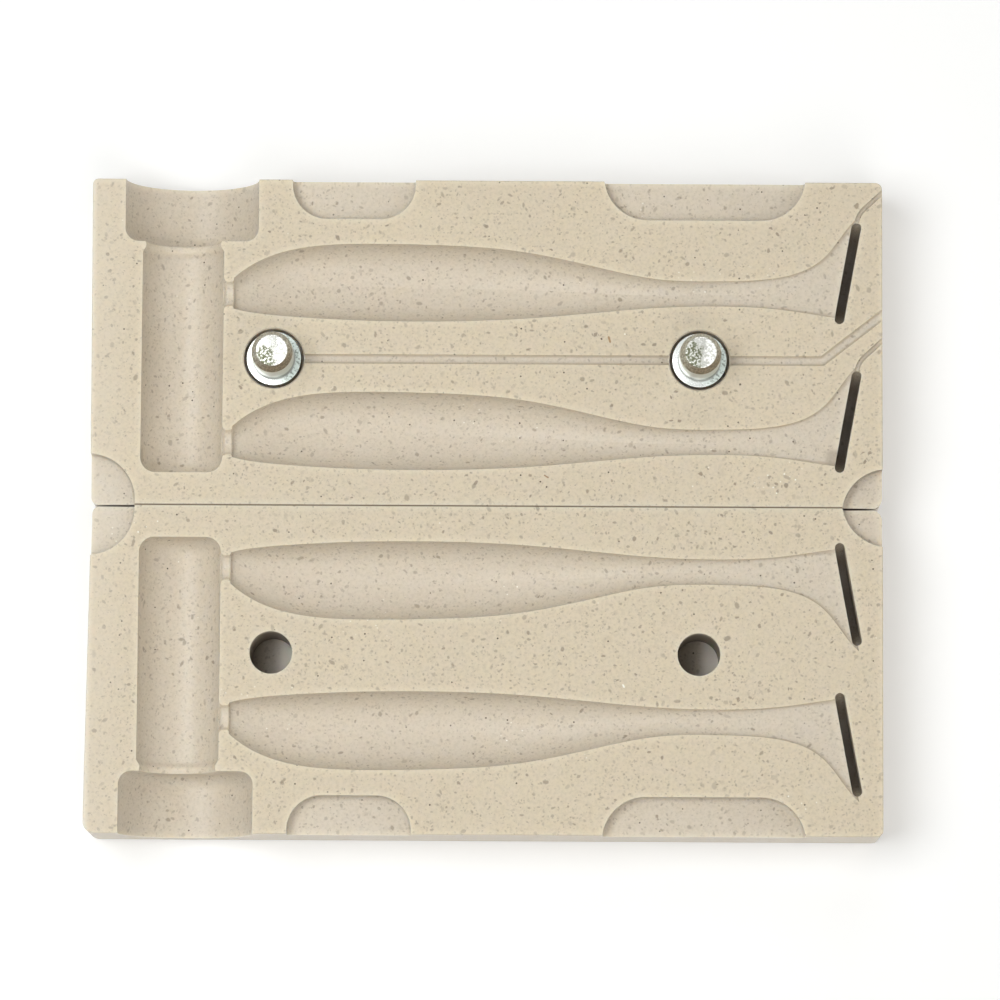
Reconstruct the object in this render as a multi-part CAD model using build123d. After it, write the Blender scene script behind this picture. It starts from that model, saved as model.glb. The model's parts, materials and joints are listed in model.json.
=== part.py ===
from build123d import *
import os
from math import cos, radians, sin, tan

# Open two-part injection mould for a pair of soft paddle-tail lures.
# Millimetres. +X runs along the lures from nose to tail, +Y from the seam towards the half
# with pins, +Z up. The halves lie side by side, cavities up, their undersides at Z = 0.

# Slab: one half of the mould
HALF_WIDTH = 47.8
THICKNESS = 12.7
SEAM_GAP = 0.05
SEAM_LEAN = 1.5
OUTER_RIGHT_RADIUS = 1.0
LEFT_SEAM_RADIUS = 1.2
RIGHT_SEAM_RADIUS = 1.7
EDGE_BREAK = 0.15

# How each slab is out of square: the lean of its left end, the shortfall of its length, and
# how far its outer side stands out at the left and at the right
PIN_HALF_SKEW = 0.35
PIN_HALF_SHORT = 0.2
PIN_HALF_WIDER_LEFT = 0.2
PIN_HALF_WIDER_RIGHT = 0.08
PIN_HALF_LEFT_RADIUS = 0.8
HOLE_HALF_SKEW = 0.8
HOLE_HALF_LEFT_RADIUS = 1.7

# Sprue: injector port, neck and runner, each turned about its own line in the parting face
PORT_FROM_END = 14.8
PORT_RADIUS = 9.75
PORT_LENGTH = 9.05
PORT_END_FILLET = 2.0
NECK_RADIUS = 5.4
NECK_LENGTH = 1.55
NECK_FLARE = 0.85
NECK_MOUTH = 0.15
NECK_ROUND = 0.7
RUNNER_FROM_END = 13.6
RUNNER_RADIUS = 5.95
RUNNER_FROM_SEAM = 4.7
RUNNER_END_FILLET = 2.2

# Gate from the runner to a lure's nose: a shallow throat, its centre line above the face
GATE_LENGTH = 1.44
GATE_RADIUS = 2.25
GATE_RISE = 1.35
GATE_DROP = 0.35
GATE_LAND = 0.64
GATE_NOSE_FLARE = 0.2

# Lure: two cavities, the first next to the seam
LURE_LENGTH = 89.6
LURE_FROM_SEAM = 9.5
LURE_PITCH = 21.85
SECTION_FULLNESS = 0.6
# Share of the lure's length, height of the back, drop of the belly, depth below the face
LURE_STATIONS = [
    (0.000, 2.00, 2.55, 1.9),
    (0.033, 4.15, 3.15, 3.2),
    (0.087, 6.05, 3.65, 4.5),
    (0.145, 6.90, 3.98, 4.9),
    (0.222, 7.16, 4.25, 5.0),
    (0.340, 6.98, 4.30, 5.0),
    (0.455, 6.25, 3.94, 4.4),
    (0.575, 4.20, 3.05, 3.2),
    (0.690, 2.12, 2.14, 1.9),
    (0.790, 1.84, 1.88, 1.2),
    (0.870, 2.20, 2.15, 0.9),
    (0.925, 3.35, 2.75, 0.8),
    (0.965, 5.75, 3.30, 0.75),
    (1.030, 12.0, 4.90, 0.7),
]

# Paddle of the tail: a thin upright oval, which leaves a narrow deep slot
PADDLE_LENGTH = 15.2
PADDLE_THICKNESS = 1.42
PADDLE_DEPTH = 6.4
PADDLE_LEAN = 10.4
PADDLE_RISE = 3.1
PADDLE_FROM_END = 5.01

# Vents of the half with pins, from the top of each slot to the right end; the bend is as long
# on both sides of its corner
VENT_WIDTH = 0.72
VENT_RISE = 5.2
VENT_CLIMB = 1.85
VENT_SHIFT = 0.15
VENT_BEND = 1.363

# Guide pins of one half and their holes in the other
PIN_SPACING = 62.0
PIN_FROM_END = 26.95
PIN_FROM_SEAM = 21.5
PIN_RADIUS = 3.0
PIN_SHANK = 6.25
PIN_LEAD_IN = 1.55
PIN_TIP_RADIUS = 2.25
COLLAR_RADIUS = 3.95
COLLAR_THICKNESS = 3.0
COLLAR_BREAK = 0.15
STEM_LENGTH = 5.5
STEM_CLEARANCE = 0.05
COUNTERBORE_GAP = 0.43
HOLE_CLEARANCE = 0.1
HOLE_DEPTH = 11.0

# Groove that joins the two pin seats and runs out at the right end
GROOVE_WIDTH = 1.45
GROOVE_DEPTH = 0.5
GROOVE_REACH = 17.9
GROOVE_ANGLE = 38.0

# Shallow pockets where a finger or a blade opens the closed mould
POCKET_DEPTH = 2.0
SHORT_POCKET_LENGTH = 18.0
SHORT_POCKET_FROM_END = 38.45
SHORT_POCKET_RADIUS = 5.1
LONG_POCKET_LENGTH = 29.4
LONG_POCKET_FROM_END = 89.7
LONG_POCKET_RADIUS = 6.4
POCKET_REACH = 5.65
CORNER_CUT_RADIUS = 6.75
LEFT_CUT_CENTRE = (0.2, 0.65)
RIGHT_CUT_CENTRE = (0.8, -1.05)
POCKET_FLOOR_FILLET = 0.6

# Spare length by which a cutting shape passes the face that it opens through
OVERRUN = 2.0

NOSE_FROM_END = RUNNER_FROM_END + RUNNER_RADIUS + GATE_LENGTH
HALF_LENGTH = NOSE_FROM_END + LURE_LENGTH + PADDLE_FROM_END
LEFT_END = -HALF_LENGTH / 2
RIGHT_END = HALF_LENGTH / 2
SEAM_Y = SEAM_GAP / 2
OUTER_Y = SEAM_Y + HALF_WIDTH
RUNNER_X = LEFT_END + RUNNER_FROM_END
PORT_X = LEFT_END + PORT_FROM_END
NOSE_X = LEFT_END + NOSE_FROM_END
TAIL_X = NOSE_X + LURE_LENGTH
LURE_AXES = [SEAM_Y + LURE_FROM_SEAM + LURE_PITCH * row for row in (0, 1)]
PIN_Y = SEAM_Y + PIN_FROM_SEAM
PIN_XS = [LEFT_END + PIN_FROM_END + PIN_SPACING * place for place in (0, 1)]


def outline(skew, short, wider_left, wider_right, left_radius):
    """Plan of one half: its right end square, its left end and outer side a little out of square."""
    left = LEFT_END + short
    seam_left = (left + HALF_WIDTH * tan(radians(skew)), SEAM_Y)
    seam_right = (RIGHT_END, SEAM_Y)
    outer_right = (RIGHT_END, OUTER_Y + wider_right)
    outer_left = (left, OUTER_Y + wider_left)
    plan = make_face(Polyline(seam_left, seam_right, outer_right, outer_left, close=True))
    plan = rounded(plan, outer_right, OUTER_RIGHT_RADIUS)
    plan = rounded(plan, outer_left, left_radius)
    return plan, rounded(rounded(plan, seam_left, LEFT_SEAM_RADIUS), seam_right, RIGHT_SEAM_RADIUS)


def rounded(plan, corner, radius):
    """The plan with one of its corners round."""
    return fillet(plan.vertices().sort_by_distance((*corner, 0))[0], radius)


def slab(plans):
    """The sawn and sanded slab: outer edges eased, seam edge sharp, sawn side leaning under it."""
    square, finished = plans
    block = extrude(square, THICKNESS)
    rims = block.faces().sort_by(Axis.Z)[-1].edges() + block.faces().sort_by(Axis.Z)[0].edges()
    eased = [edge for edge in rims if edge.center().Y > SEAM_Y + EDGE_BREAK]
    waste = Box(2 * HALF_LENGTH, HALF_WIDTH, 4 * THICKNESS, align=(Align.CENTER, Align.MAX, Align.CENTER))
    block = chamfer(eased, EDGE_BREAK) & extrude(finished, THICKNESS)
    return block - Pos(0, SEAM_Y, THICKNESS) * Rot(SEAM_LEAN, 0, 0) * waste


def sprue():
    """Injector port, neck and closed runner, of which each half takes half."""
    port_end = OUTER_Y - PORT_LENGTH
    runner_top = port_end - NECK_LENGTH
    runner_foot = SEAM_Y + RUNNER_FROM_SEAM
    port = make_face(Polyline(
        (0, port_end), (PORT_RADIUS, port_end), (PORT_RADIUS, OUTER_Y + OVERRUN),
        (0, OUTER_Y + OVERRUN), close=True))
    port = rounded(port, (PORT_RADIUS, port_end), PORT_END_FILLET)
    mouth = NECK_RADIUS + NECK_MOUTH
    runner = make_face(Polyline(
        (0, runner_foot), (RUNNER_RADIUS, runner_foot), (RUNNER_RADIUS, runner_top),
        (NECK_RADIUS, runner_top + NECK_FLARE), (mouth, port_end), (mouth, port_end + PORT_END_FILLET),
        (0, port_end + PORT_END_FILLET), close=True))
    runner = rounded(runner, (RUNNER_RADIUS, runner_foot), RUNNER_END_FILLET)
    runner = rounded(runner, (RUNNER_RADIUS, runner_top), NECK_ROUND)
    runner = rounded(runner, (NECK_RADIUS, runner_top + NECK_FLARE), NECK_ROUND)
    port_body = Pos(PORT_X, 0, THICKNESS) * revolve(port, Axis.Y)
    runner_body = Pos(RUNNER_X, 0, THICKNESS) * revolve(runner, Axis.Y)
    return port_body + runner_body


def gate(axis_y):
    """Shallow throat between runner and nose: a round flare, a level land and a small bevel."""
    wall = RUNNER_X + RUNNER_RADIUS
    land_end = NOSE_X - GATE_NOSE_FLARE
    flare = land_end - GATE_LAND - wall
    wide = GATE_RADIUS + flare
    middle = flare * (1 - cos(radians(45)))
    entry = Polyline((land_end - GATE_LAND, GATE_RADIUS), (land_end, GATE_RADIUS),
                     (NOSE_X, GATE_RADIUS + GATE_NOSE_FLARE), (NOSE_X, 0), (RUNNER_X, 0), (RUNNER_X, wide),
                     (wall, wide))
    round_edge = ThreePointArc(
        (wall, wide), (wall + middle, GATE_RADIUS + middle), (land_end - GATE_LAND, GATE_RADIUS))
    profile = make_face(Wire(entry.edges() + round_edge.edges()))
    return Pos(0, axis_y - GATE_DROP, THICKNESS + GATE_RISE) * revolve(profile, Axis.X)


def oval(back, belly, depth):
    """Closed cross-section of the lure, level with the parting face at its sides."""
    middle = (back - belly) / 2
    half = (back + belly) / 2
    side = half * SECTION_FULLNESS
    dip = depth * SECTION_FULLNESS
    quarters = []
    for across, down in ((1, 1), (-1, 1), (-1, -1), (1, -1)):
        points = [(half, 0), (half, dip), (side, depth), (0, depth)]
        points = [(middle + across * u, down * v) for u, v in points]
        if across != down:
            points.reverse()
        quarters.append(Bezier(*points))
    return make_face(Wire(quarters))


def lure_body(axis_y):
    """Nose, body, stem and flared root of the tail, lofted whole through its sections."""
    sections = []
    for share, back, belly, depth in LURE_STATIONS:
        plane = Plane(origin=(NOSE_X + share * LURE_LENGTH, axis_y, THICKNESS),
                      x_dir=(0, 1, 0), z_dir=(1, 0, 0))
        sections.append(plane * oval(back, belly, depth))
    reach = 2 * LURE_LENGTH
    ahead = Box(reach, reach, reach, align=(Align.MAX, Align.CENTER, Align.CENTER))
    return loft(sections) & paddle_place(axis_y) * ahead


def paddle_place(axis_y):
    """Middle of the paddle, leaning as the slot leans."""
    return Pos(TAIL_X, axis_y + PADDLE_RISE, THICKNESS) * Rot(0, 0, -PADDLE_LEAN)


def paddle(axis_y):
    """Upright oval paddle, as thick as the slot that it leaves and round at both ends."""
    plan = Rot(0, 0, 90) * SlotOverall(PADDLE_LENGTH, PADDLE_THICKNESS)
    column = extrude(plan, PADDLE_DEPTH, both=True)
    disc = extrude(Plane.YZ * Ellipse(PADDLE_LENGTH / 2, PADDLE_DEPTH), PADDLE_THICKNESS, both=True)
    return paddle_place(axis_y) * (column & disc)


def vent(axis_y):
    """Air groove from the top of a tail slot: up, round a bend and out at the right end."""
    lean = radians(PADDLE_LEAN)
    reach = (PADDLE_LENGTH - PADDLE_THICKNESS) / 2
    start = Vector(TAIL_X + reach * sin(lean), axis_y + PADDLE_RISE + reach * cos(lean), THICKNESS)
    bend = start + Vector(VENT_SHIFT, VENT_CLIMB, 0)
    run = RIGHT_END - bend.X
    beyond = (run + OVERRUN) / run
    mouth = bend + Vector(run * beyond, (VENT_RISE - VENT_CLIMB) * beyond, 0)
    turn = (bend - start).get_angle(mouth - bend)
    path = FilletPolyline(start, bend, mouth, radius=VENT_BEND / tan(radians(turn / 2)))
    round_tool = Plane(origin=path @ 0, z_dir=path % 0) * Circle(VENT_WIDTH / 2)
    return sweep(round_tool, path)


def groove_run(start, end):
    """One straight run of the pin groove, cut with a round-nosed tool."""
    tool_radius = ((GROOVE_WIDTH / 2) ** 2 + GROOVE_DEPTH ** 2) / (2 * GROOVE_DEPTH)
    height = THICKNESS + tool_radius - GROOVE_DEPTH
    low = Vector(*start, height)
    high = Vector(*end, height)
    plane = Plane(origin=low, z_dir=high - low)
    run = extrude(plane * Circle(tool_radius), (high - low).length)
    return run + Pos(low) * Sphere(tool_radius)


def pin_groove():
    """Groove through both pin seats and out at the right end."""
    bend = (PIN_XS[1] + GROOVE_REACH, PIN_Y)
    run = RIGHT_END + OVERRUN - bend[0]
    mouth = (bend[0] + run, PIN_Y + run * tan(radians(GROOVE_ANGLE)))
    return groove_run((PIN_XS[0], PIN_Y), bend) + groove_run(bend, mouth)


def edge_pocket(from_end, length, radius):
    """Pocket that opens through the outer side, its two inner corners round."""
    width = POCKET_REACH + radius
    middle = Pos(LEFT_END + from_end, OUTER_Y - POCKET_REACH + width / 2)
    plan = middle * Rectangle(length, width)
    return milled(fillet(plan.vertices().sort_by(Axis.Y)[:2], radius))


def milled(plan):
    """Pocket cut down from the parting face with a tool that leaves a small fillet at its floor."""
    block = Pos(0, 0, THICKNESS - POCKET_DEPTH) * extrude(plan, POCKET_DEPTH + OVERRUN)
    return fillet(block.faces().sort_by(Axis.Z)[0].edges(), POCKET_FLOOR_FILLET)


def corner_pocket(corner_x, centre):
    """Round pocket at an end of the seam, half of it in each half of the mould."""
    return milled(Pos(corner_x + centre[0], SEAM_Y + centre[1]) * Circle(CORNER_CUT_RADIUS))


def common_cuts():
    """What is cut alike into both halves."""
    cuts = [sprue()]
    for axis_y in LURE_AXES:
        cuts += [gate(axis_y), lure_body(axis_y), paddle(axis_y)]
    cuts.append(edge_pocket(SHORT_POCKET_FROM_END, SHORT_POCKET_LENGTH, SHORT_POCKET_RADIUS))
    cuts.append(edge_pocket(LONG_POCKET_FROM_END, LONG_POCKET_LENGTH, LONG_POCKET_RADIUS))
    cuts.append(corner_pocket(LEFT_END, LEFT_CUT_CENTRE))
    cuts.append(corner_pocket(RIGHT_END, RIGHT_CUT_CENTRE))
    return cuts


def carved(block, cuts):
    """The block less each cutting shape in turn."""
    for cut in cuts:
        block = block - cut
    return block


def upright_bore(x, radius, depth):
    """Round hole on a pin's line, from the parting face down."""
    return Pos(x, PIN_Y, THICKNESS - depth) * extrude(Circle(radius), depth + OVERRUN)


def pin_half(cuts):
    """Half that holds the guide pins, with the vents and the pin groove."""
    plan = outline(PIN_HALF_SKEW, PIN_HALF_SHORT, PIN_HALF_WIDER_LEFT, PIN_HALF_WIDER_RIGHT,
                   PIN_HALF_LEFT_RADIUS)
    half = carved(slab(plan), cuts)
    for axis_y in LURE_AXES:
        half = half - vent(axis_y)
    half = half - pin_groove()
    for x in PIN_XS:
        half = half - upright_bore(x, COLLAR_RADIUS + COUNTERBORE_GAP, COLLAR_THICKNESS)
        half = half - upright_bore(x, PIN_RADIUS + STEM_CLEARANCE, COLLAR_THICKNESS + STEM_LENGTH)
    return half


def hole_half(cuts):
    """Half with the blind guide holes, a mirror image about the seam."""
    half = carved(slab(outline(HOLE_HALF_SKEW, 0, 0, 0, HOLE_HALF_LEFT_RADIUS)), cuts)
    for x in PIN_XS:
        half = half - upright_bore(x, PIN_RADIUS + HOLE_CLEARANCE, HOLE_DEPTH)
    return mirror(half, about=Plane.XZ)


def guide_pin(x):
    """Turned steel pin: stem, flush collar, shank and tapered lead-in."""
    foot = -COLLAR_THICKNESS - STEM_LENGTH
    profile = make_face(Polyline(
        (0, foot), (PIN_RADIUS, foot), (PIN_RADIUS, -COLLAR_THICKNESS),
        (COLLAR_RADIUS, -COLLAR_THICKNESS), (COLLAR_RADIUS, -COLLAR_BREAK),
        (COLLAR_RADIUS - COLLAR_BREAK, 0), (PIN_RADIUS, 0), (PIN_RADIUS, PIN_SHANK),
        (PIN_TIP_RADIUS, PIN_SHANK + PIN_LEAD_IN), (0, PIN_SHANK + PIN_LEAD_IN), close=True))
    upright = Plane.XZ * profile
    return Pos(x, PIN_Y, THICKNESS) * revolve(upright, Axis.Z)


def main():
    os.makedirs("parts", exist_ok=True)
    cuts = common_cuts()
    parts = {
        "pin_half": pin_half(cuts),
        "hole_half": hole_half(cuts),
        "left_guide_pin": guide_pin(PIN_XS[0]),
        "right_guide_pin": guide_pin(PIN_XS[1]),
    }
    for name, part in parts.items():
        export_step(part, f"parts/{name}.step")
        box = part.bounding_box()
        print(name, len(part.solids()), round(part.volume, 1), box.min, box.max)


main()
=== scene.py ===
"""Studio scene of an open two-part mould for soft fishing lures. Lengths are in metres unless said."""

import json
import math

import bmesh
import bpy
from bpy.props import FloatProperty, FloatVectorProperty, IntProperty, PointerProperty
from mathutils import Matrix, Vector


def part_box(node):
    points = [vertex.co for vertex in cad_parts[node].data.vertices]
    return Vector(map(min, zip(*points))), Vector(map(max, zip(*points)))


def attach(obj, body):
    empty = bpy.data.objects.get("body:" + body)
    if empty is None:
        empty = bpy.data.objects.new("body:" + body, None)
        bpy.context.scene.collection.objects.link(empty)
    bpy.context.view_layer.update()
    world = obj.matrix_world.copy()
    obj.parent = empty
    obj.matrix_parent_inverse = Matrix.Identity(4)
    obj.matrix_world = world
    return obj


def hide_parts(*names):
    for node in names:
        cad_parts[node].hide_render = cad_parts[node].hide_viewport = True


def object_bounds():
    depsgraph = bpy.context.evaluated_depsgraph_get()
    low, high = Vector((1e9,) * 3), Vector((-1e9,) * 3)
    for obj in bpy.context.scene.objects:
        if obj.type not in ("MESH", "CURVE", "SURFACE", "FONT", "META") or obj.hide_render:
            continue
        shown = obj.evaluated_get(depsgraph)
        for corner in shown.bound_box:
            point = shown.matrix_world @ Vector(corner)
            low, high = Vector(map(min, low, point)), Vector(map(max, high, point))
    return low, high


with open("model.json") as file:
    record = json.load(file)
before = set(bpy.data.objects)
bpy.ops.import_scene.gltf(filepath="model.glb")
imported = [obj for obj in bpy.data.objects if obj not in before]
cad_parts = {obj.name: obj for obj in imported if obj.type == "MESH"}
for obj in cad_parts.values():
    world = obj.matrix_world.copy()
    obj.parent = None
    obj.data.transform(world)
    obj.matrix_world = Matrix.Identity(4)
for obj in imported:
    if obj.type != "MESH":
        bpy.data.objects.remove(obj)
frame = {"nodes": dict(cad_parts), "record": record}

bl_info = {
    "name": "Lure Mould Studio",
    "version": (1, 0, 0),
    "blender": (4, 5, 0),
    "location": "3D View > Sidebar > Lure Mould",
    "description": "Finishes the packed lure mould and sets a plain studio round it",
    "category": "Object",
}

MM = 0.001
BODY = "root"
HALVES = ("pin_half", "hole_half")
MOUNTS = {entry["name"]: entry for entry in frame["record"]["mounts"]}
HOLES = [MOUNTS[side + "_guide_hole"]["pos_m"][:2] for side in ("left", "right")]
PIN_AXES = [MOUNTS[side + "_pin_shank"]["pos_m"][:2] for side in ("left", "right")]
CAD_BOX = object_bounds()
FACE_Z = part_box("pin_half")[1].z

# In millimetres, with heights and depths taken from the parting face
SHANK_RADIUS = MOUNTS["left_pin_shank"]["dims"]["r_mm"]
SHANK_LENGTH = MOUNTS["left_pin_shank"]["dims"]["length_mm"]
TIP_HEIGHT = (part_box("left_guide_pin")[1].z - FACE_Z) / MM
TIP_TAPER = 0.75
COLLAR_DEPTH = 3
HOLE_DEPTH = MOUNTS["left_guide_hole"]["dims"]["length_mm"]

# In millimetres from the middle of the mould, to its end and side and to where the pockets and slots start
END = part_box("pin_half")[1].x / MM
SIDE = 47.8
END_POCKET = 49
TAIL_SLOTS = 35

# The floor: its radius, its drop below the mould, and where its fade into the white starts and ends
FLOOR_RADIUS = 3.0
FLOOR_DROP = 0.02 * MM
FLOOR_FADE = (0.11, 0.3)

ROOM_LIGHT = (0.98, 0.96, 0.85)
WHITE = (1, 1, 1)

# Colours of the stone that no setting holds: first the sheet, then painted light and shade among a few other
# marks
PALE_PATCH = (0.75, 0.655, 0.49)
WARM_PATCH = (0.72, 0.625, 0.51)
CUT_STONE = (0.66, 0.6, 0.53)
SHADED_BRIM = (0.44, 0.35, 0.24)
FINE_GREY = (0.5, 0.44, 0.34)
FAINT_CHIP = (0.33, 0.275, 0.2)
LIT_EDGE = (0.89, 0.815, 0.655)
CREASE_SHADE = (0.35, 0.31, 0.25)
DARK_ROUND_PIN = (0.3, 0.24, 0.17)
SEAT_RING_SHADE = (0.33, 0.25, 0.18)
SEAT_WALL = (0.75, 0.68, 0.58)
LIT_FLOOR = (1.0, 0.9, 0.8)
RECESS_SHADE = (0.09, 0.062, 0.035)
POCKET_SHADE = (0.3, 0.24, 0.18)
LIT_SIDE = (0.88, 0.78, 0.67)
SEAM_SHADE = (0.045, 0.024, 0.012)
SEAM_LINE = (0.22, 0.135, 0.06)
LIT_STRIP = (0.78, 0.71, 0.6)
LIT_END = (0.94, 0.91, 0.84)
DARK_GRAIN = (0.1, 0.07, 0.05)
PALE_GRAIN = (0.95, 0.93, 0.86)

# Colours on the pins' plating, among them painted light and shade
TIP_STAIN = (0.1, 0.105, 0.065)
LEAD_IN_LIT = (0.6, 0.61, 0.55)
LEAD_IN_SHADED = (0.34, 0.295, 0.225)
DULL_SPECK = (0.14, 0.125, 0.095)
SHANK_SIDE = (0.66, 0.685, 0.655)
SHANK_FOOT_SHADE = (0.17, 0.18, 0.16)
COLLAR_FACE = (0.55, 0.61, 0.6)
COLLAR_SHADOW = (0.5, 0.56, 0.52)
TARNISH_SPECK = (0.13, 0.14, 0.12)
HIDDEN_STEEL = (0.5, 0.45, 0.39)

# Length of a chip over its own length, width and thickness
CHIP_SQUASH = (1.0, 2.4, 1.5)
CHIP_LAYERS = (
    # spacing and size as shares of the usual ones, shift of the pattern, cover of the faintest and strongest
    (3.5, 2.3, 0.11, 0.0, 0.15),
    (1.5, 1.3, 0.17, 0.15, 1.0),
    (1.0, 0.98, 0.23, 0.1, 0.95),
    (0.6, 0.75, 0.37, 0.06, 0.75),
    (0.42, 0.56, 0.53, 0.05, 0.6),
)

# Spacing and radius of the round grains, and shift of their pattern
DARK_DOTS = (1.6 * MM, 0.13 * MM, 0.71)
GLINTS = (0.9 * MM, 0.12 * MM, 0.83)

MARKS = (
    # start and end on the parting face and width in millimetres, and colour: two fibres, then grains
    ((17.92, 24.89), (18.13, 24.21), 0.3, (0.44, 0.29, 0.15)),
    ((8.66, 4.54), (9.19, 4.2), 0.19, (0.402, 0.262, 0.162)),
    ((16.84, 24.66), (16.9, 24.6), 0.22, DARK_GRAIN),
    ((8.04, 3.6), (8.1, 3.6), 0.22, DARK_GRAIN),
    ((8.95, 2.81), (9.0, 2.85), 0.22, DARK_GRAIN),
    ((20.26, 25.36), (20.3, 25.36), 0.2, PALE_GRAIN),
    ((20.17, -26.0), (20.32, -26.29), 0.24, PALE_GRAIN),
)
STAINS = (
    # pin, middle of the stain on its tip, and how much narrower the stain is from front to back
    ("left_guide_pin", (-0.95 * MM, -1.0 * MM), 0.75),
    ("right_guide_pin", (-1.1 * MM, -0.6 * MM), 0.6),
)
LAMPS = (
    # name, azimuth, elevation and angle across in degrees, level on a level face, distance, colour
    ("Key lamp", -90, 66, 38, 0.49, 0.75, (0.97, 0.99, 1.0)),
    ("Front lamp", 165, 52, 40, 0.17, 2.0, (1.0, 0.98, 0.96)),
    ("Right lamp", 90, 32, 36, 0.09, 2.0, (1.0, 1.0, 1.0)),
    ("Back lamp", 0, 40, 36, 0.07, 2.0, (1.0, 1.0, 1.0)),
)


class StoneFinish(bpy.types.PropertyGroup):
    """Speckled acrylic stone of both halves"""
    base: FloatVectorProperty(
        name="Base", description="Colour of the sheet between its chips", subtype="COLOR",
        min=0, max=1, default=(0.7, 0.615, 0.475))
    chip: FloatVectorProperty(
        name="Chips", description="Colour of the darkest chips", subtype="COLOR",
        min=0, max=1, default=(0.285, 0.225, 0.165))
    dot: FloatVectorProperty(
        name="Dots", description="Colour of the small dark grains", subtype="COLOR",
        min=0, max=1, default=(0.085, 0.06, 0.035))
    glint: FloatVectorProperty(
        name="Glints", description="Colour of the tiny pale grains", subtype="COLOR",
        min=0, max=1, default=PALE_GRAIN)
    chip_spacing: FloatProperty(
        name="Chip spacing", description="Mean distance between chips", subtype="DISTANCE",
        unit="LENGTH", min=0.0002, default=1.15 * MM)
    chip_size: FloatProperty(
        name="Chip size", description="Half the length of a usual chip", subtype="DISTANCE",
        unit="LENGTH", min=0.00002, default=0.3 * MM)
    roughness: FloatProperty(
        name="Roughness", description="Roughness of the sanded face", subtype="FACTOR",
        min=0, max=1, default=0.62)
    cut_roughness: FloatProperty(
        name="Cut roughness", description="Roughness of the milled cavities", subtype="FACTOR",
        min=0, max=1, default=0.4)


class PinFinish(bpy.types.PropertyGroup):
    """Turned and plated guide pins"""
    steel: FloatVectorProperty(
        name="Plating", description="Colour of the bright plating", subtype="COLOR",
        min=0, max=1, default=(0.8, 0.8, 0.76))
    roughness: FloatProperty(
        name="Roughness", description="Roughness of the bright plating", subtype="FACTOR",
        min=0, max=1, default=0.16)
    worn_roughness: FloatProperty(
        name="Worn roughness", description="Roughness of the worn plating", subtype="FACTOR",
        min=0, max=1, default=0.45)
    edge: FloatProperty(
        name="Edge radius", description="Rounding of each turned edge", subtype="DISTANCE",
        unit="LENGTH", min=0, default=0.08 * MM)
    steps: IntProperty(
        name="Steps round", description="Facets round each pin", min=24, max=256, default=120)


class StudioSettings(bpy.types.PropertyGroup):
    """Camera, lamps and floor"""
    lens: FloatProperty(
        name="Lens", description="Focal length of the camera", subtype="DISTANCE_CAMERA",
        unit="CAMERA", min=10, default=216.0)
    distance: FloatProperty(
        name="Distance", description="From the aim point to the camera", subtype="DISTANCE",
        unit="LENGTH", min=0.1, default=871.43 * MM)
    azimuth: FloatProperty(
        name="Azimuth", description="Turn of the camera round the mould", subtype="ANGLE",
        unit="ROTATION", default=math.radians(2.869))
    elevation: FloatProperty(
        name="Elevation", description="Height of the camera above the horizon", subtype="ANGLE",
        unit="ROTATION", default=math.radians(82.673))
    roll: FloatProperty(
        name="Roll", description="Turn of the camera about its line of sight", subtype="ANGLE",
        unit="ROTATION", default=math.radians(-2.552))
    aim: FloatVectorProperty(
        name="Aim", description="Point that the camera looks at", subtype="XYZ",
        unit="LENGTH", default=(2.22 * MM, 0.887 * MM, FACE_Z))
    ambient: FloatProperty(
        name="Ambient", description="Light of the room on the mould, 1 for white", min=0, default=0.17)
    floor: FloatVectorProperty(
        name="Floor", description="Colour of the floor", subtype="COLOR",
        min=0, max=1, default=(0.86, 0.86, 0.86))


class Wiring:
    """A node tree whose nodes are added and wired by short calls."""

    def __init__(self, tree):
        self.tree = tree
        tree.nodes.clear()

    def feed(self, node, inputs):
        for key, value in inputs.items():
            if isinstance(value, bpy.types.NodeSocket):
                self.tree.links.new(value, node.inputs[key])
            else:
                node.inputs[key].default_value = value

    def node(self, kind, inputs=None, **settings):
        node = self.tree.nodes.new("ShaderNode" + kind)
        for key, value in settings.items():
            setattr(node, key, value)
        self.feed(node, inputs or {})
        return node

    def maths(self, operation, *values):
        node = self.node("Math", dict(enumerate(values)), operation=operation)
        return node.outputs[0]

    def product(self, *factors):
        result = factors[0]
        for factor in factors[1:]:
            result = self.maths("MULTIPLY", result, factor)
        return result

    def larger(self, first, second):
        return self.maths("MAXIMUM", first, second)

    def rest(self, share):
        """What the share leaves of one."""
        return self.maths("SUBTRACT", 1.0, share)

    def eye(self):
        """One for what the camera sees straight on, in a mirror or through glass, and nought for light."""
        seen = self.node("LightPath").outputs
        straight = self.larger(seen["Is Camera Ray"], seen["Is Glossy Ray"])
        return self.larger(straight, seen["Is Transmission Ray"])


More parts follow.
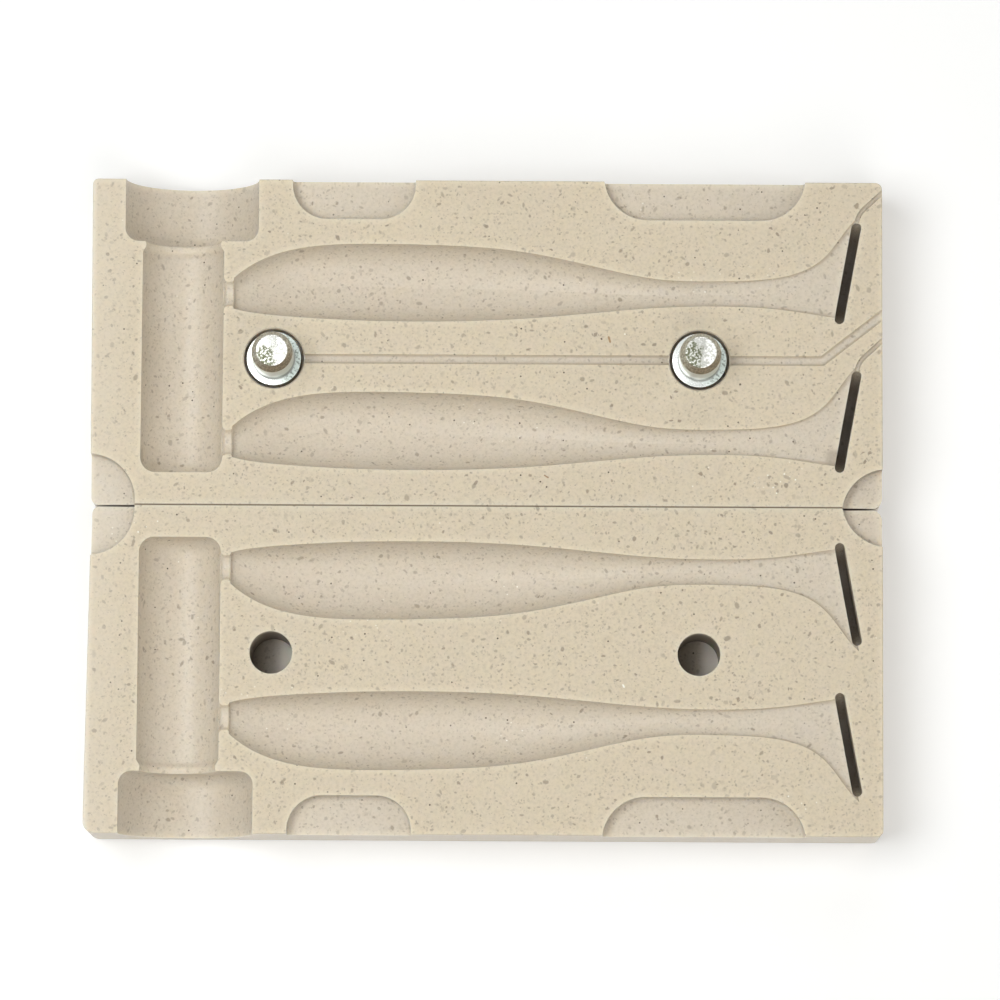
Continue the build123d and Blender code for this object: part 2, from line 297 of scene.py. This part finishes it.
class Recipe(Wiring):
    """A material, mixed from soft masks and patterns."""

    def __init__(self, name):
        self.material = bpy.data.materials.new(name)
        self.material.use_nodes = True
        super().__init__(self.material.node_tree)

    def vector(self, operation, *values):
        node = self.node("VectorMath", dict(enumerate(values)), operation=operation)
        single = operation in ("LENGTH", "DISTANCE", "DOT_PRODUCT")
        return node.outputs["Value" if single else "Vector"]

    def scaled(self, vector, factor):
        scaled = self.vector("SCALE", vector)
        self.feed(scaled.node, {"Scale": factor})
        return scaled

    def split(self, vector):
        return self.node("SeparateXYZ", {0: vector}).outputs

    def fade(self, value, start, end, low=0.0, high=1.0):
        """Smooth change from low to high as the value goes from start to end."""
        node = self.node("MapRange", {"Value": value, "From Min": start, "From Max": end,
                                      "To Min": low, "To Max": high},
                         interpolation_type="SMOOTHSTEP")
        return node.outputs["Result"]

    def fade_mm(self, value, start, end, low=0.0, high=1.0):
        """As fade, between two lengths in millimetres."""
        return self.fade(value, start * MM, end * MM, low, high)

    def rise(self, height, start, end, low=0.0, high=1.0):
        """As fade, between two heights over the parting face in millimetres."""
        return self.fade(height, FACE_Z + start * MM, FACE_Z + end * MM, low, high)

    def mix(self, share, first, second):
        """Between the first and the second, which are colours or shares."""
        first, second = (colour if isinstance(colour, bpy.types.NodeSocket) else (*colour, 1)
                         for colour in (first, second))
        return self.node("Mix", {0: share, 6: first, 7: second}, data_type="RGBA").outputs[2]

    def place(self):
        """Where the point is in the frame of its own piece."""
        return self.node("TexCoord").outputs["Object"]

    def noise(self, place, size, detail=2.0, roughness=0.5):
        """Soft random value near a half, whose blotches are about as wide as size."""
        node = self.node("TexNoise", {"Vector": place, "Scale": 1 / size, "Detail": detail,
                                      "Roughness": roughness})
        return node.outputs["Fac"]

    def openness(self, distance, samples=3, **settings):
        """How free the point is of other surfaces within the distance, up to one."""
        node = self.node("AmbientOcclusion", {"Distance": distance}, samples=samples, **settings)
        return node.outputs["AO"]

    def finish(self, shader):
        self.node("OutputMaterial", {"Surface": shader.outputs[0]})
        return self.material


class StoneRecipe(Recipe):
    """The stone, whose colour is laid on in coats from the cast sheet outwards, some of them painted light
    and shade.
    """

    def __init__(self, look):
        super().__init__("Speckled acrylic stone")
        self.look = look
        self.spot = self.place()
        self.level_spot = self.vector("MULTIPLY", self.spot, (1, 1, 0))
        self.east, self.north, self.height = self.split(self.spot)
        self.off_middle = self.maths("ABSOLUTE", self.east)
        self.off_seam = self.maths("ABSOLUTE", self.north)
        self.cut = self.depth(0.03, 0.2)
        self.colour = look.base

    def depth(self, start, end, low=0.0, high=1.0):
        """Smooth change between two depths under the parting face, in millimetres."""
        return self.rise(self.height, -start, -end, low, high)

    def coat(self, share, colour):
        """Covers a share of the colour so far."""
        self.colour = self.mix(share, self.colour, colour)

    def grains(self, place, spacing, shift):
        """Scattered grains: the way from the nearest grain's middle, and three random shares."""
        moved = self.vector("ADD", place, (shift, 2 * shift, 3 * shift))
        cell = self.node("TexVoronoi", {"Vector": moved, "Scale": 1 / spacing, "Randomness": 1.0},
                         voronoi_dimensions="3D", feature="F1")
        return self.vector("SUBTRACT", moved, cell.outputs["Position"]), cell.outputs["Color"]

    def chips(self, place, spacing, size, shift):
        """Oblong chips, each turned its own way: their mask and three random shares."""
        way, random = self.grains(place, spacing, shift)
        turned = self.node("VectorRotate", {"Vector": way, "Rotation": self.scaled(random, 3 * math.tau)},
                           rotation_type="EULER_XYZ").outputs["Vector"]
        distance = self.vector("LENGTH", self.vector("MULTIPLY", turned, CHIP_SQUASH))
        shares = self.split(random)
        reach = self.maths("MULTIPLY_ADD", shares[0], 0.9 * size, 0.6 * size)
        return self.fade(self.maths("DIVIDE", distance, reach), 1.3, 0.7), shares

    def dots(self, spacing, radius, shift):
        """Round grains: their mask and three random shares."""
        way, random = self.grains(self.spot, spacing, shift)
        return self.fade(self.vector("LENGTH", way), 1.25 * radius, 0.7 * radius), self.split(random)

    def stroke(self, start, end, width):
        """Mask of one short straight mark on the parting face."""
        along = Vector((*end, 0)) - Vector((*start, 0))
        way = self.vector("SUBTRACT", self.spot, (*start, FACE_Z))
        share = self.maths("DIVIDE", self.vector("DOT_PRODUCT", way, tuple(along)), along.length_squared)
        share = self.maths("MINIMUM", self.larger(share, 0.0), 1.0)
        nearest = self.scaled(tuple(along), share)
        return self.fade(self.vector("DISTANCE", way, nearest), 0.6 * width, 0.4 * width)

    def lay_sheet(self):
        """Patches of the cast sheet, greyer where it is cut, with painted shade in a brown band at the brim
        of each cavity.
        """
        broad = self.noise(self.spot, 22 * MM)
        warm = self.noise(self.vector("ADD", self.spot, (0.4, 0.1, 0.2)), 3.0 * MM, 3.0)
        fine = self.noise(self.spot, 0.45 * MM, 2.0, 0.6)
        brim = self.product(self.depth(0.02, 0.08), self.depth(0.46, 0.3))
        self.coat(self.fade(broad, 0.3, 0.7, 0, 0.35), PALE_PATCH)
        self.coat(self.fade(warm, 0.35, 0.7, 0, 0.3), WARM_PATCH)
        self.coat(self.product(self.cut, 0.5), CUT_STONE)
        # painted shade: brown band at the brim of each cavity
        self.coat(self.product(brim, 0.45), SHADED_BRIM)
        self.coat(self.fade(fine, 0.38, 0.72, 0, 0.3), FINE_GREY)

    def scatter_chips(self):
        """Grey-brown chips with uneven outlines, weaker where the stone is cut."""
        wander = self.node("TexNoise", {"Vector": self.spot, "Scale": 1 / (0.3 * MM), "Detail": 1.0})
        drift = self.scaled(self.vector("SUBTRACT", wander.outputs["Color"], (0.5, 0.5, 0.5)), 0.2 * MM)
        uneven = self.vector("ADD", self.spot, drift)
        cover = self.fade(self.cut, 0, 1, 0.82, 0.74)
        look = self.look
        for gap, reach, shift, faint, strong in CHIP_LAYERS:
            mask, shares = self.chips(uneven, gap * look.chip_spacing, reach * look.chip_size, shift)
            strength = self.maths("MULTIPLY_ADD", self.maths("POWER", shares[1], 1.7), strong - faint, faint)
            tint = self.mix(shares[2], look.chip, FAINT_CHIP)
            self.coat(self.product(mask, strength, cover), tint)

    def scatter_grains(self):
        """Small dark dots all over, and clusters of tiny pale ones."""
        mask, shares = self.dots(*DARK_DOTS)
        self.coat(self.product(mask, self.fade(shares[0], 0.6, 0.8)), self.look.dot)
        mask, shares = self.dots(*GLINTS)
        cluster = self.fade(self.noise(self.spot, 9 * MM, 1.0), 0.63, 0.7)
        self.coat(self.product(mask, self.product(cluster, shares[1])), self.look.glint)

    def paint_edge_glow_and_crease_shade(self):
        """Painted glow on thin edges, as if light came through them, and painted shade in grey lines along
        the creases of the cavities.
        """
        thin = self.openness(1.1 * MM, inside=True, only_local=True)
        # painted glow where the edges are thin
        self.coat(self.fade(thin, 0.95, 0.4, 0, 0.42), LIT_EDGE)
        crease = self.openness(0.8 * MM, only_local=True)
        # painted shade in the creases of the cavities
        self.coat(self.product(self.cut, self.fade(crease, 0.9, 0.5, 0, 0.38)), CREASE_SHADE)

    def shade_nooks(self):
        """Painted shade in narrow nooks, most of all in the tails' deep slots."""
        # painted shade where the stone is closed in, and deeper down in the tails' slots
        nook = self.fade(self.openness(2.2 * MM), 0.36, 0.1, 0, 0.85)
        deep = self.product(self.fade_mm(self.off_middle, END - 0.8, END - 1.8),
                            self.fade_mm(self.off_seam, SIDE - 0.8, SIDE - 1.8),
                            self.fade_mm(self.east, TAIL_SLOTS, TAIL_SLOTS + 1), self.depth(1.5, 5, 0, 0.68))
        return self.larger(nook, deep)

    def shade_pin_seats(self, recess_shade):
        """Darker cut stone round each pin, a painted dark ring for the shade of the gap round its collar,
        and paler cut stone inside the ring in place of the other painted shade.
        """
        for axis in PIN_AXES:
            away = self.vector("DISTANCE", self.level_spot, (*axis, 0))
            ring = self.fade_mm(away, 4.62, 4.42)
            self.coat(self.product(self.cut, self.fade_mm(away, 7, 4.5), 0.35), DARK_ROUND_PIN)
            # painted shade: a dark ring for the gap round the collar
            self.coat(self.product(ring, 0.6), SEAT_RING_SHADE)
            self.coat(self.product(ring, self.cut), SEAT_WALL)
            recess_shade = self.product(recess_shade, self.rest(ring))
        return recess_shade

    def shade_holes_and_light_floors(self, recess_shade):
        """Painted shade on the wall and foot of each guide hole, with a painted pool of light on the right
        of its floor.
        """
        floor = self.depth(HOLE_DEPTH - 0.1, HOLE_DEPTH - 0.02)
        wall = self.depth(0.3, 3, 0, 0.7)
        foot = self.depth(HOLE_DEPTH - 2.5, HOLE_DEPTH - 0.5, 0, 0.93)
        shade = self.product(self.larger(wall, foot), self.rest(floor))
        shade = self.larger(shade, self.product(floor, 0.15))
        for hole in HOLES:
            within = self.fade_mm(self.vector("DISTANCE", self.level_spot, (*hole, 0)), 3.4, 3.25)
            lit = self.fade(self.east, hole[0] - 0.5 * MM, hole[0] + 1.7 * MM)
            lit = self.product(floor, lit, within)
            # painted shade on the hole's wall and foot, and a painted pool of light on the right of its
            # floor
            recess_shade = self.product(self.mix(within, recess_shade, shade), self.rest(lit))
            self.coat(lit, LIT_FLOOR)
        return recess_shade

    def shade_pockets(self):
        """Painted shade: a brown crescent along the upper wall of the round pocket at each end of the seam.
        """
        wall = self.product(self.cut, self.depth(1.97, 1.6))
        corner = self.product(self.fade_mm(self.off_middle, END_POCKET, END_POCKET + 1.5),
                              self.fade_mm(self.north, 9, 8), self.fade_mm(self.north, 0.5, 2))
        # painted shade on the pocket's upper wall
        self.coat(self.product(wall, corner, 0.5), POCKET_SHADE)

    def draw_seam(self):
        """Brown hairline between the halves, and painted shade on the cut stone beside the seam and in the
        open gap at the floors of the end pockets, fading towards the ends.
        """
        beside = self.fade_mm(self.off_seam, 0.2, 0.1)
        inward = self.fade_mm(self.off_middle, END - 0.3, END - 3.8, 0.1, 1)
        gap = self.product(self.fade_mm(self.off_seam, 0.45, 0.4), self.depth(2.05, 2.2))
        seam = self.larger(self.product(beside, self.cut), gap)
        # painted shade in the gap between the halves
        self.coat(self.product(seam, inward), SEAM_SHADE)
        hairline = self.fade_mm(self.off_seam, 0.16, 0.09, 0, 0.7)
        self.coat(self.product(hairline, self.rest(seam)), SEAM_LINE)

    def light_left_end(self):
        """Painted light: a paler strip along the left end."""
        # painted light along the left end
        self.coat(self.fade_mm(self.east, 7.8 - END, 0.8 - END, 0, 0.3), LIT_STRIP)
        self.coat(self.fade_mm(self.east, 1.1 - END, 0.1 - END, 0, 0.3), LIT_END)

    def draw_marks(self):
        for start, end, width, tint in MARKS:
            start = [value * MM for value in start]
            end = [value * MM for value in end]
            self.coat(self.stroke(start, end, width * MM), tint)


def stone_material(look):
    """Cast acrylic sheet full of grey-brown chips, with dark and pale grains, sanded to a matte finish."""
    stone = StoneRecipe(look)
    stone.lay_sheet()
    stone.scatter_chips()
    stone.scatter_grains()
    stone.paint_edge_glow_and_crease_shade()
    # painted shade in nooks, slots, pin seats and guide holes
    recess_shade = stone.shade_holes_and_light_floors(stone.shade_pin_seats(stone.shade_nooks()))
    stone.coat(recess_shade, RECESS_SHADE)
    stone.shade_pockets()
    # painted light on the side that faces the front
    stone.coat(stone.fade_mm(stone.north, 0.1 - SIDE, -SIDE, 0, 0.3), LIT_SIDE)
    stone.draw_seam()
    stone.light_left_end()
    stone.draw_marks()

    grain = stone.noise(stone.spot, 0.2 * MM, 3.0, 0.6)
    bump = stone.node("Bump", {"Height": grain, "Strength": 0.12, "Distance": 0.05 * MM})
    return stone.finish(stone.node("BsdfPrincipled", {
        "Base Color": stone.colour, "IOR": 1.42,
        "Roughness": stone.fade(stone.cut, 0, 1, look.roughness, look.cut_roughness),
        "Subsurface Weight": 0.6, "Subsurface Radius": (1.0, 0.8, 0.55), "Subsurface Scale": 1.2 * MM,
        "Normal": bump.outputs["Normal"]}))


def plated_material(name, look, stain_place, stain_stretch):
    """Bright plated steel: a stained tip, a rougher lead-in with painted light at its back and painted shade
    at its front, painted shade at the shank's foot, and a painted shadow of the shank, with dark specks, on
    the collar's right.
    """
    recipe = Recipe(name)
    place = recipe.place()
    east, north, height = recipe.split(place)
    radius = recipe.vector("LENGTH", recipe.vector("MULTIPLY", place, (1, 1, 0)))
    speck = recipe.noise(recipe.vector("ADD", place, (0.3, 0.0, 0.1)), 0.3 * MM, 2.0, 0.6)
    blotch = recipe.noise(place, 0.9 * MM)

    tip = recipe.rise(height, TIP_HEIGHT - 0.06, TIP_HEIGHT - 0.03)
    aside = recipe.vector("SUBTRACT", place, (*stain_place, 0))
    reach = recipe.vector("LENGTH", recipe.vector("MULTIPLY", aside, (1, stain_stretch, 0)))
    stained = recipe.fade_mm(recipe.maths("MULTIPLY_ADD", blotch, 1.6 * MM, reach), 2.8, 1.8)
    pitted = recipe.product(stained, recipe.fade(speck, 0.34, 0.56, 0.35, 1.0))
    scuffed = recipe.product(tip, recipe.larger(pitted, recipe.fade(speck, 0.42, 0.62, 0, 0.5)))
    colour = recipe.mix(scuffed, look.steel, TIP_STAIN)

    cone = recipe.product(recipe.rise(height, SHANK_LENGTH, SHANK_LENGTH + 0.05), recipe.rest(tip))
    # painted light on the back of the lead-in and painted shade on its front
    front = recipe.fade_mm(recipe.maths("SUBTRACT", north, recipe.product(east, 0.5)), 0.5, -2.6)
    lit_and_shaded_lead_in = recipe.mix(front, LEAD_IN_LIT, LEAD_IN_SHADED)
    lit_and_shaded_lead_in = recipe.mix(recipe.fade(speck, 0.42, 0.58, 0, 0.6), lit_and_shaded_lead_in, DULL_SPECK)
    colour = recipe.mix(cone, colour, lit_and_shaded_lead_in)

    side = recipe.product(recipe.rise(height, 0.1, 0.15),
                          recipe.rise(height, SHANK_LENGTH + 0.02, SHANK_LENGTH))
    colour = recipe.mix(side, colour, SHANK_SIDE)
    # painted shade at the foot of the shank
    foot = recipe.product(recipe.rise(height, 1.9, 1.0), recipe.rise(height, -0.3, -0.1),
                          recipe.fade_mm(radius, SHANK_RADIUS + 0.26, SHANK_RADIUS + 0.12))
    colour = recipe.mix(recipe.product(foot, 0.75), colour, SHANK_FOOT_SHADE)

    collar = recipe.product(recipe.rise(height, 0.1, 0.05),
                            recipe.fade_mm(radius, SHANK_RADIUS + 0.1, SHANK_RADIUS + 0.2))
    # painted shadow of the shank on the right of the collar, with dark specks
    right = recipe.fade_mm(recipe.maths("MULTIPLY_ADD", blotch, 2 * MM, east), 0.6, 3.2)
    shadow_and_specks = recipe.mix(recipe.fade(speck, 0.5, 0.62, 0, 0.75), COLLAR_SHADOW, TARNISH_SPECK)
    colour = recipe.mix(recipe.product(collar, 0.4), colour, COLLAR_FACE)
    colour = recipe.mix(recipe.product(collar, right), colour, shadow_and_specks)
    colour = recipe.mix(recipe.rise(height, -0.3, -0.5), colour, HIDDEN_STEEL)

    dusty = recipe.larger(side, foot)
    worn = recipe.larger(scuffed, recipe.larger(cone, right))
    worn = recipe.larger(worn, recipe.product(dusty, 0.6))
    grain = recipe.maths("ADD", recipe.product(speck, 0.5), recipe.noise(place, 0.5 * MM, 3.0))
    bump = recipe.node("Bump", {"Height": grain, "Strength": 0.25, "Distance": 0.03 * MM})
    return recipe.finish(recipe.node("BsdfPrincipled", {
        "Base Color": colour, "Metallic": recipe.maths("MULTIPLY_ADD", dusty, -0.35, 1.0),
        "Roughness": recipe.fade(worn, 0, 1, look.roughness, look.worn_roughness),
        "Normal": bump.outputs["Normal"]}))


def floor_material(colour):
    """Pale paper that keeps the mould's shadow and fades into the white round it."""
    recipe = Recipe("Pale floor")
    eye = recipe.eye()
    paper = recipe.node("BsdfDiffuse", {"Color": (*colour, 1)})
    glow = recipe.node("Emission", {"Color": (*WHITE, 1), "Strength": recipe.product(eye, 0.2)})
    near = recipe.node("AddShader", {0: paper.outputs[0], 1: glow.outputs[0]})
    far = recipe.node("Emission", {"Color": (*WHITE, 1), "Strength": 1.0})
    distance = recipe.vector("LENGTH", recipe.place())
    share = recipe.product(eye, recipe.fade(distance, *FLOOR_FADE))
    return recipe.finish(recipe.node("MixShader", {0: share, 1: near.outputs[0], 2: far.outputs[0]}))


def mesh_object(name, build, material):
    """A new shown object whose mesh is made by the given function."""
    mesh = bpy.data.meshes.new(name)
    shape = bmesh.new()
    build(shape)
    shape.to_mesh(mesh)
    shape.free()
    mesh.materials.append(material)
    piece = bpy.data.objects.new(name, mesh)
    bpy.context.scene.collection.objects.link(piece)
    return piece


def rounded(profile, radius, steps=4):
    """The profile with each inner corner rounded, as far as its shorter side allows."""
    points = [profile[0]]
    for before, corner, after in zip(profile, profile[1:], profile[2:]):
        back = before - corner
        ahead = after - corner
        reach = min(radius, 0.4 * back.length, 0.4 * ahead.length)
        start = corner + reach * back.normalized()
        end = corner + reach * ahead.normalized()
        for step in range(steps + 1):
            share = step / steps
            points.append((1 - share) ** 2 * start + 2 * share * (1 - share) * corner + share ** 2 * end)
    points.append(profile[-1])
    return points


def pin_profile(low, high, collar_radius, edge):
    """Half outline of a pin, from the middle of its foot to the middle of its tip."""
    radius = SHANK_RADIUS * MM
    shoulder = FACE_Z + SHANK_LENGTH * MM
    collar_foot = FACE_Z - COLLAR_DEPTH * MM
    corners = [
        (0, low.z), (radius, low.z), (radius, collar_foot), (collar_radius, collar_foot),
        (collar_radius, FACE_Z), (radius, FACE_Z), (radius, shoulder),
        (radius - TIP_TAPER * MM, high.z), (0, high.z)]
    return rounded([Vector(corner) for corner in corners], edge)


def turn_pin(node, material, look):
    """One guide pin, turned finely round its own axis in place of the plain solid."""
    low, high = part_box(node)
    middle = (low + high) / 2
    collar_radius = (high.x - low.x) / 2
    outline = pin_profile(low, high, collar_radius, look.edge)

    def build(shape):
        line = [shape.verts.new((radius, 0, height)) for radius, height in outline]
        edges = [shape.edges.new(pair) for pair in zip(line, line[1:])]
        bmesh.ops.spin(shape, geom=line + edges, cent=(0, 0, 0), axis=(0, 0, 1),
                       angle=math.tau, steps=look.steps, use_merge=True)
        bmesh.ops.remove_doubles(shape, verts=shape.verts, dist=1e-6)
        bmesh.ops.recalc_face_normals(shape, faces=shape.faces)
        for face in shape.faces:
            face.smooth = True

    piece = mesh_object(node + "_turned", build, material)
    piece.location = (middle.x, middle.y, 0)
    bpy.context.view_layer.update()
    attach(piece, BODY)
    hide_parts(node)


class LUREMOULD_OT_dress_halves(bpy.types.Operator):
    """Give both halves of the mould the speckled stone finish"""
    bl_idname = "luremould.dress_halves"
    bl_label = "Dress Halves"

    def execute(self, context):
        material = stone_material(context.scene.luremould_stone)
        for name in HALVES:
            for slot in frame["nodes"][name].material_slots:
                slot.material = material
        return {"FINISHED"}


class LUREMOULD_OT_turn_pins(bpy.types.Operator):
    """Make the two turned guide pins"""
    bl_idname = "luremould.turn_pins"
    bl_label = "Turn Guide Pins"

    def execute(self, context):
        look = context.scene.luremould_pins
        for name, place, stretch in STAINS:
            title = name.replace("_", " ").capitalize() + " plating"
            turn_pin(name, plated_material(title, look, place, stretch), look)
        return {"FINISHED"}


def add_lamp(name, azimuth, elevation, width, level, distance, colour):
    """A round soft lamp, whose level is what it adds to a white face that lies flat under it."""
    lift = math.radians(elevation)
    turn = math.radians(azimuth)
    half_width = math.radians(width / 2)
    data = bpy.data.lights.new(name, "AREA")
    data.shape = "DISK"
    data.size = 2 * distance * math.tan(half_width)
    data.energy = (math.pi * distance / math.cos(half_width)) ** 2 * level / math.sin(lift)
    data.color = colour
    lamp = bpy.data.objects.new(name, data)
    towards = Vector((math.sin(turn) * math.cos(lift), math.cos(turn) * math.cos(lift), math.sin(lift)))
    lamp.rotation_mode = "QUATERNION"
    lamp.rotation_quaternion = towards.to_track_quat("Z", "Y")
    lamp.location = distance * towards
    bpy.context.scene.collection.objects.link(lamp)


def add_world(ambient):
    """White where it is seen or mirrored, and a soft ambient light elsewhere."""
    world = bpy.data.worlds.new("White room")
    world.use_nodes = True
    wiring = Wiring(world.node_tree)
    room = wiring.node("Background", {"Color": (*ROOM_LIGHT, 1), "Strength": ambient})
    white = wiring.node("Background", {"Color": (*WHITE, 1), "Strength": 1.0})
    choice = wiring.node("MixShader", {0: wiring.eye(), 1: room.outputs[0], 2: white.outputs[0]})
    wiring.node("OutputWorld", {"Surface": choice.outputs[0]})
    bpy.context.scene.world = world


def add_camera(studio):
    """Long lens nearly overhead, on the side of the half with holes."""
    data = bpy.data.cameras.new("Camera")
    data.lens = studio.lens
    data.sensor_width = 36
    data.clip_start = 0.01
    data.clip_end = 20
    camera = bpy.data.objects.new("Camera", data)
    flat = math.cos(studio.elevation)
    back = Vector((math.sin(studio.azimuth) * flat, -math.cos(studio.azimuth) * flat,
                   math.sin(studio.elevation)))
    right = Vector((0, 0, 1)).cross(back).normalized()
    up = back.cross(right)
    facing = Matrix((right, up, back)).transposed() @ Matrix.Rotation(studio.roll, 3, "Z")
    camera.matrix_world = Matrix.Translation(Vector(studio.aim) + studio.distance * back) @ facing.to_4x4()
    bpy.context.scene.collection.objects.link(camera)
    bpy.context.scene.camera = camera


def add_floor(colour):
    """Round sheet of pale paper just under the mould."""
    def build(shape):
        bmesh.ops.create_circle(shape, cap_ends=True, segments=96, radius=FLOOR_RADIUS)

    floor = mesh_object("Floor", build, floor_material(colour))
    floor.location.z = CAD_BOX[0].z - FLOOR_DROP


class LUREMOULD_OT_set_stage(bpy.types.Operator):
    """Set the camera, lamps, white room and floor round the mould"""
    bl_idname = "luremould.set_stage"
    bl_label = "Set Stage"

    def execute(self, context):
        studio = context.scene.luremould_studio
        add_camera(studio)
        add_world(studio.ambient)
        for lamp in LAMPS:
            add_lamp(*lamp)
        add_floor(studio.floor)
        context.scene.view_settings.view_transform = "Standard"
        return {"FINISHED"}


class LUREMOULD_PT_panel(bpy.types.Panel):
    """Settings and steps of the lure mould's scene"""
    bl_idname = "LUREMOULD_PT_panel"
    bl_label = "Lure Mould"
    bl_space_type = "VIEW_3D"
    bl_region_type = "UI"
    bl_category = "Lure Mould"

    def draw(self, context):
        for name, (group, operator) in STEPS.items():
            box = self.layout.box()
            for key in group.__annotations__:
                box.prop(getattr(context.scene, name), key)
            box.operator(operator.bl_idname)


STEPS = {
    "luremould_stone": (StoneFinish, LUREMOULD_OT_dress_halves),
    "luremould_pins": (PinFinish, LUREMOULD_OT_turn_pins),
    "luremould_studio": (StudioSettings, LUREMOULD_OT_set_stage),
}
CLASSES = [cls for step in STEPS.values() for cls in step] + [LUREMOULD_PT_panel]


def register():
    for cls in CLASSES:
        bpy.utils.register_class(cls)
    for name, (group, _) in STEPS.items():
        setattr(bpy.types.Scene, name, PointerProperty(type=group))


def unregister():
    for name in STEPS:
        delattr(bpy.types.Scene, name)
    for cls in reversed(CLASSES):
        bpy.utils.unregister_class(cls)


def main():
    register()
    bpy.ops.luremould.dress_halves()
    bpy.ops.luremould.turn_pins()
    bpy.ops.luremould.set_stage()


if __name__ == "__main__":
    main()
